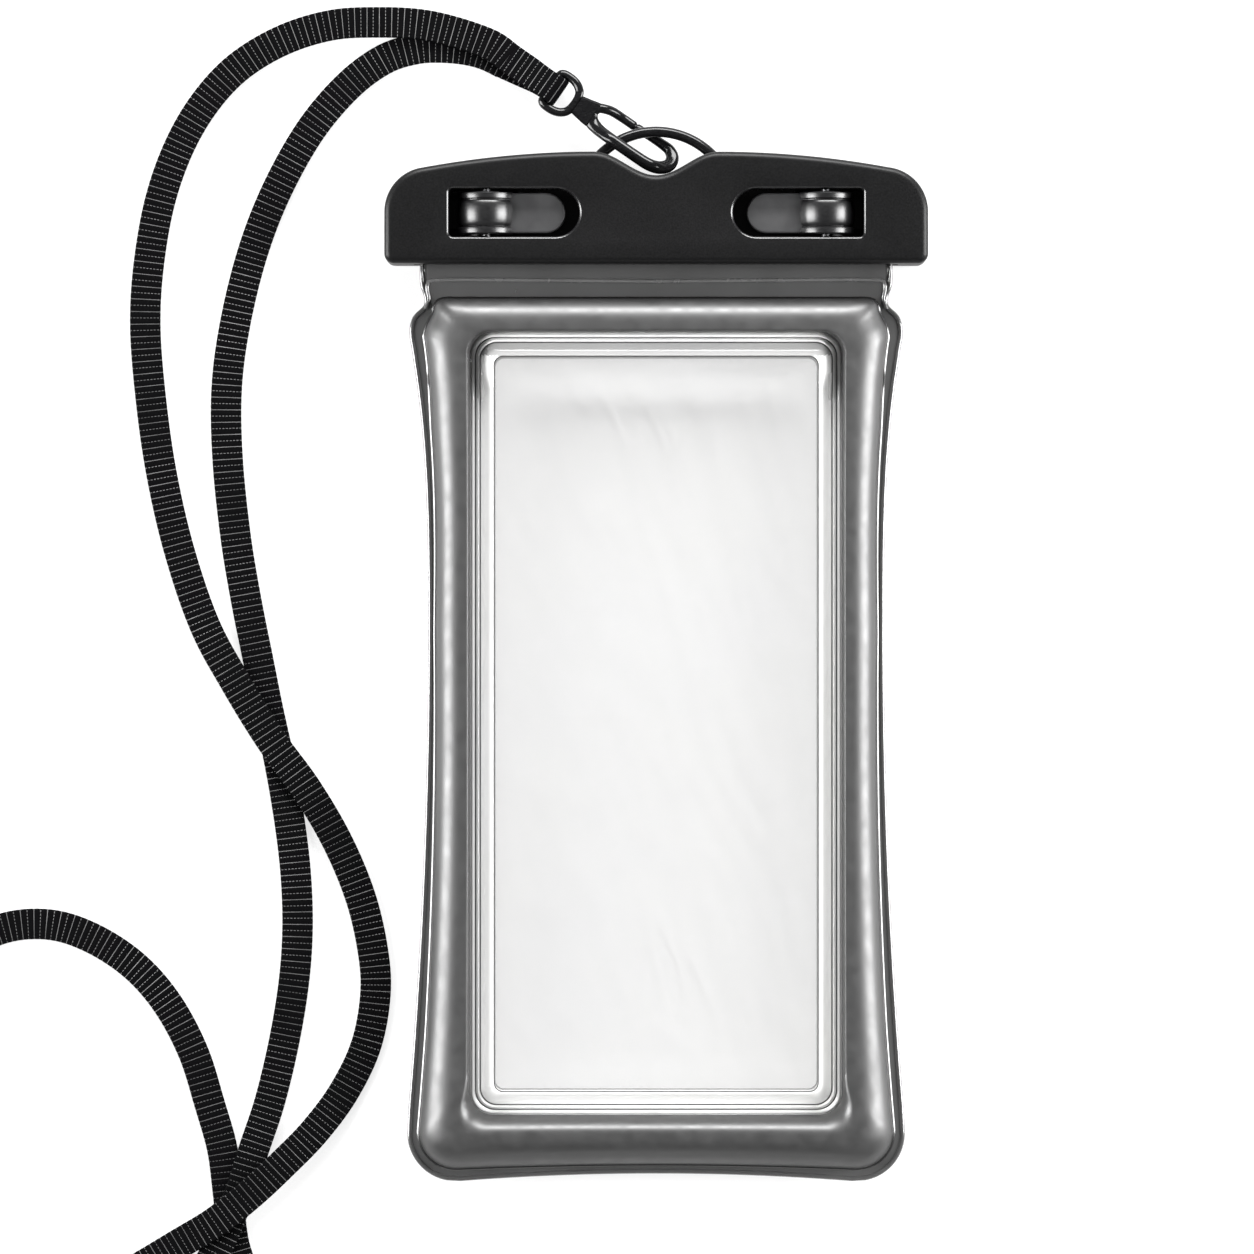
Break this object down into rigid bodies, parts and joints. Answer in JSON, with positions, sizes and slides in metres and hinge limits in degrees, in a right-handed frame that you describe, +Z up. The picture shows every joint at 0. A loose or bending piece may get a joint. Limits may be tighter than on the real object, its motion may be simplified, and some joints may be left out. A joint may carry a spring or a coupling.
{
  "type": "floating waterproof phone pouch",
  "caption": "Clear waterproof phone pouch with an inflated frame that floats, a two-lever clamp closing its mouth, and a neck strap on a swivel hook.",
  "frame": {"origin": "centre of the pouch's footprint on the surface it lies on, from the pouch's bottom edge to the top of the lanyard arch, with the strap and its hook left out", "axes": "+Z up out of the clear front, +Y towards the clamp, +X to the right seen from the front"},
  "size_m": [0.2385, 0.3215, 0.0175],
  "materials": {
    "clamp_plastic": "fine-grained matte black",
    "gloss_black_plastic": "glossy black",
    "pin_steel": "plain steel",
    "seal_rubber": "soft dark grey rubber",
    "smoky_film": "glossy smoky grey translucent film",
    "clear_film": "glossy clear film",
    "strap_webbing": "black ribbed webbing"
  },
  "bodies": {
    "back": {"clamp_back": "clamp_plastic", "lanyard_arch": "gloss_black_plastic", "seal_strip_back": "seal_rubber", "weld_flange": "smoky_film", "front_air_frame": "smoky_film", "back_air_frame": "smoky_film", "front_film": "clear_film", "back_film": "clear_film", "swivel_eye": "gloss_black_plastic", "lanyard_hook": "gloss_black_plastic", "strap_fold": "strap_webbing", "strap": "strap_webbing"},
    "front_jaw": {"clamp_front": "clamp_plastic", "seal_strip_front": "seal_rubber", "lever_pin_left": "pin_steel", "lever_pin_right": "pin_steel"},
    "left_latch": {"lever_left": "gloss_black_plastic"},
    "right_latch": {"lever_right": "gloss_black_plastic"}
  },
  "joints": [
    {"name": "clamp_lift", "type": "slide", "parent": "back", "child": "front_jaw", "axis": [0, 0, 1], "range_m": [0, 0.01]},
    {"name": "lever_left_turn", "type": "hinge", "parent": "front_jaw", "child": "left_latch", "pos_m": [-0.0382, 0.0989, 0.011], "axis": [0, -1, 0], "range_deg": [0, 100.1]},
    {"name": "lever_right_turn", "type": "hinge", "parent": "front_jaw", "child": "right_latch", "pos_m": [0.0382, 0.0989, 0.011], "axis": [0, 1, 0], "range_deg": [0, 100.1]}
  ],
  "couplings": [
    {"joint": "lever_left_turn", "follows": "clamp_lift", "rad_per_m": 174.53},
    {"joint": "lever_right_turn", "follows": "clamp_lift", "rad_per_m": 174.53}
  ]
}
